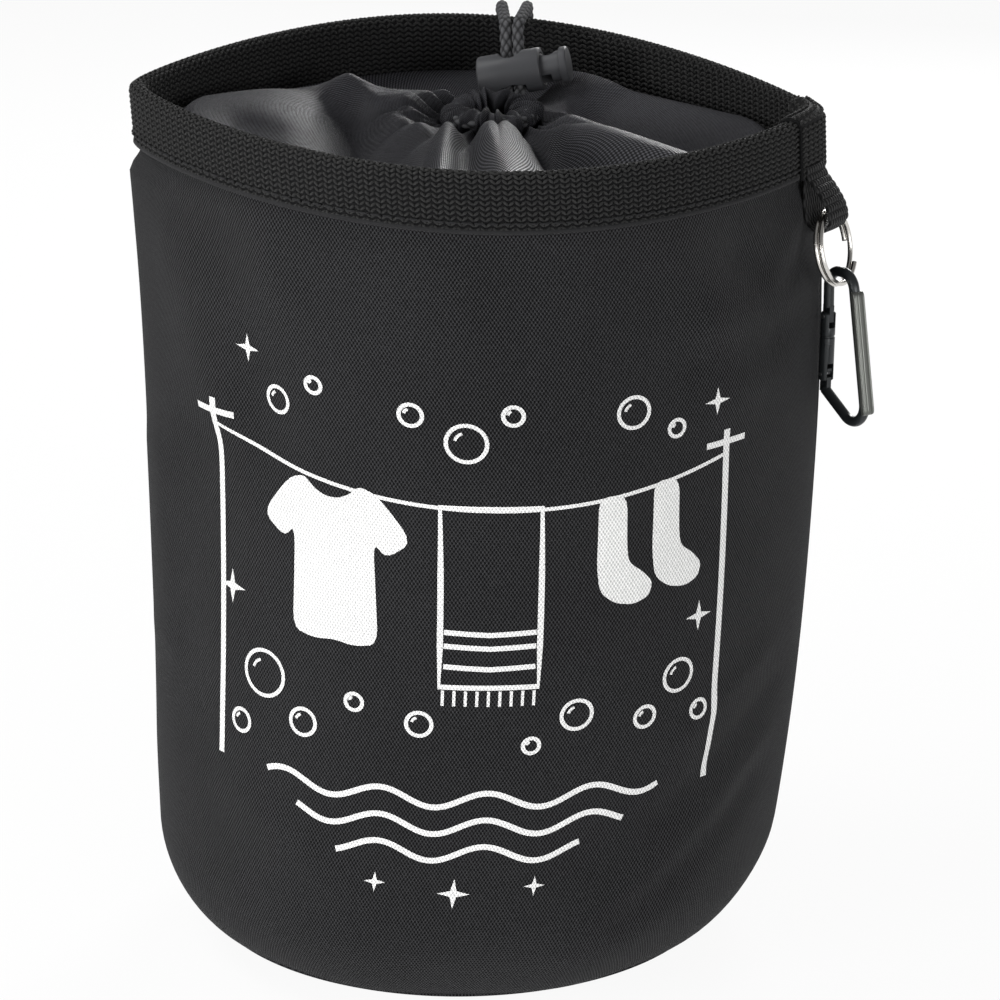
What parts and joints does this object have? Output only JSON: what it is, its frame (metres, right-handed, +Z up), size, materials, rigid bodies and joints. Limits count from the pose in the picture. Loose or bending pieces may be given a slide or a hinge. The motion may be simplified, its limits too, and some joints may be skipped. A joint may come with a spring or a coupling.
{
  "type": "peg bag",
  "caption": "Soft round peg bag with a webbing-bound mouth, a drawstring liner closed by a sprung cord lock, and a gated clip on a ring at the side seam to hang it by.",
  "frame": {"origin": "on the floor, under the middle of the round base", "axes": "+Z up out of the mouth, -Y towards the front face, +X towards the side seam with the clip"},
  "size_m": [0.22, 0.2099, 0.2629],
  "materials": {
    "bag_cloth": "matt coarse weave",
    "webbing": "matt knitted webbing",
    "liner_cloth": "satin fine weave",
    "cord": "braided",
    "lock_plastic": "satin moulded",
    "spring_steel": "bright wire",
    "nickel": "nickel plated",
    "clip_metal": "black anodised"
  },
  "bodies": {
    "bag": {"wall_panel": "bag_cloth", "base_panel": "bag_cloth", "base_seam_tape": "webbing", "side_seam_tape": "webbing", "rim_binding": "webbing", "closing_liner": "liner_cloth", "liner_hem": "liner_cloth", "drawcord": "cord", "cord_tail_left": "cord", "cord_tail_right": "cord", "cord_knot": "cord"},
    "tab": {"hanging_tab": "webbing"},
    "ring": {"split_ring": "nickel"},
    "clip": {"clip_body": "clip_metal"},
    "gate": {"clip_gate": "clip_metal", "gate_rivet": "spring_steel", "gate_latch_pin": "spring_steel", "gate_spring": "spring_steel"},
    "cord_lock": {"cord_lock_barrel": "lock_plastic", "cord_lock_spring": "spring_steel"},
    "lock_button": {"cord_lock_button": "lock_plastic"}
  },
  "joints": [
    {"name": "tab_swing", "type": "hinge", "parent": "bag", "child": "tab", "pos_m": [0.10466, -0.00716, 0.23124], "axis": [-0.4989, -0.8667, 0], "range_deg": [0, 65]},
    {"name": "ring_swing", "type": "hinge", "parent": "tab", "child": "ring", "pos_m": [0.10784, -0.00899, 0.21648], "axis": [-0.4989, -0.8667, 0], "range_deg": [0, 22]},
    {"name": "clip_swing", "type": "hinge", "parent": "ring", "child": "clip", "pos_m": [0.11131, -0.01105, 0.1982], "axis": [-0.8387, -0.5446, 0], "range_deg": [-2, 45]},
    {"name": "gate_open", "type": "hinge", "parent": "clip", "child": "gate", "pos_m": [0.10835, -0.00649, 0.18911], "axis": [-0.8387, -0.5446, 0], "range_deg": [0, 30], "stiffness_Nm_per_rad": 0.02, "springref_deg": -20.05},
    {"name": "lock_slide", "type": "slide", "parent": "bag", "child": "cord_lock", "axis": [-0.0323, 0.6584, 0.752], "range_m": [0, 0.006]},
    {"name": "button_press", "type": "slide", "parent": "cord_lock", "child": "lock_button", "axis": [-0.9667, 0.1705, -0.1908], "range_m": [0, 0.003], "stiffness_N_per_m": 300, "springref_m": -0.0015, "deforming": ["cord_lock_spring"]}
  ]
}
